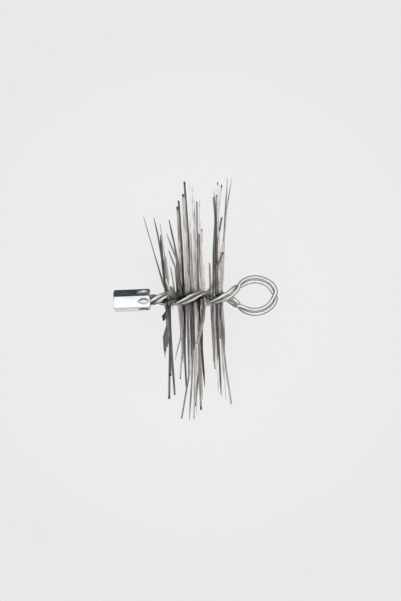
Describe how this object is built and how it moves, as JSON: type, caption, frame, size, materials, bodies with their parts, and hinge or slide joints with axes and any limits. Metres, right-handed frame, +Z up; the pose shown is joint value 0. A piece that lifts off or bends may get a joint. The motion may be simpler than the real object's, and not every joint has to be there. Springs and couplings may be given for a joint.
{
  "type": "chimney sweep brush",
  "caption": "Round flue brush: flat spring steel tines gripped crosswise in a twisted wire core, with a wire eye at one end and a crimped hexagon coupling nut for a rod at the other.",
  "frame": {"origin": "on the surface that the brush lies on, under the middle of its bounding box", "axes": "+X along the core from the coupling nut to the eye, +Y across the core in the plane of the eye, +Z up, with the brush standing on the ends of its lowest tines"},
  "size_m": [0.1602, 0.2364, 0.2292],
  "materials": {
    "zinc_plate": "bright zinc plate",
    "galvanised_wire": "satin drawn galvanised wire",
    "spring_steel": "bare rolled strip, partly dark, with specks of rust"
  },
  "bodies": {
    "root": {"coupling_nut": "zinc_plate", "core_wire_upper": "galvanised_wire", "core_wire_lower": "galvanised_wire", "tine_bunch_1": "spring_steel", "tine_bunch_2": "spring_steel", "tine_bunch_3": "spring_steel", "tine_bunch_4": "spring_steel"}
  },
  "joints": []
}
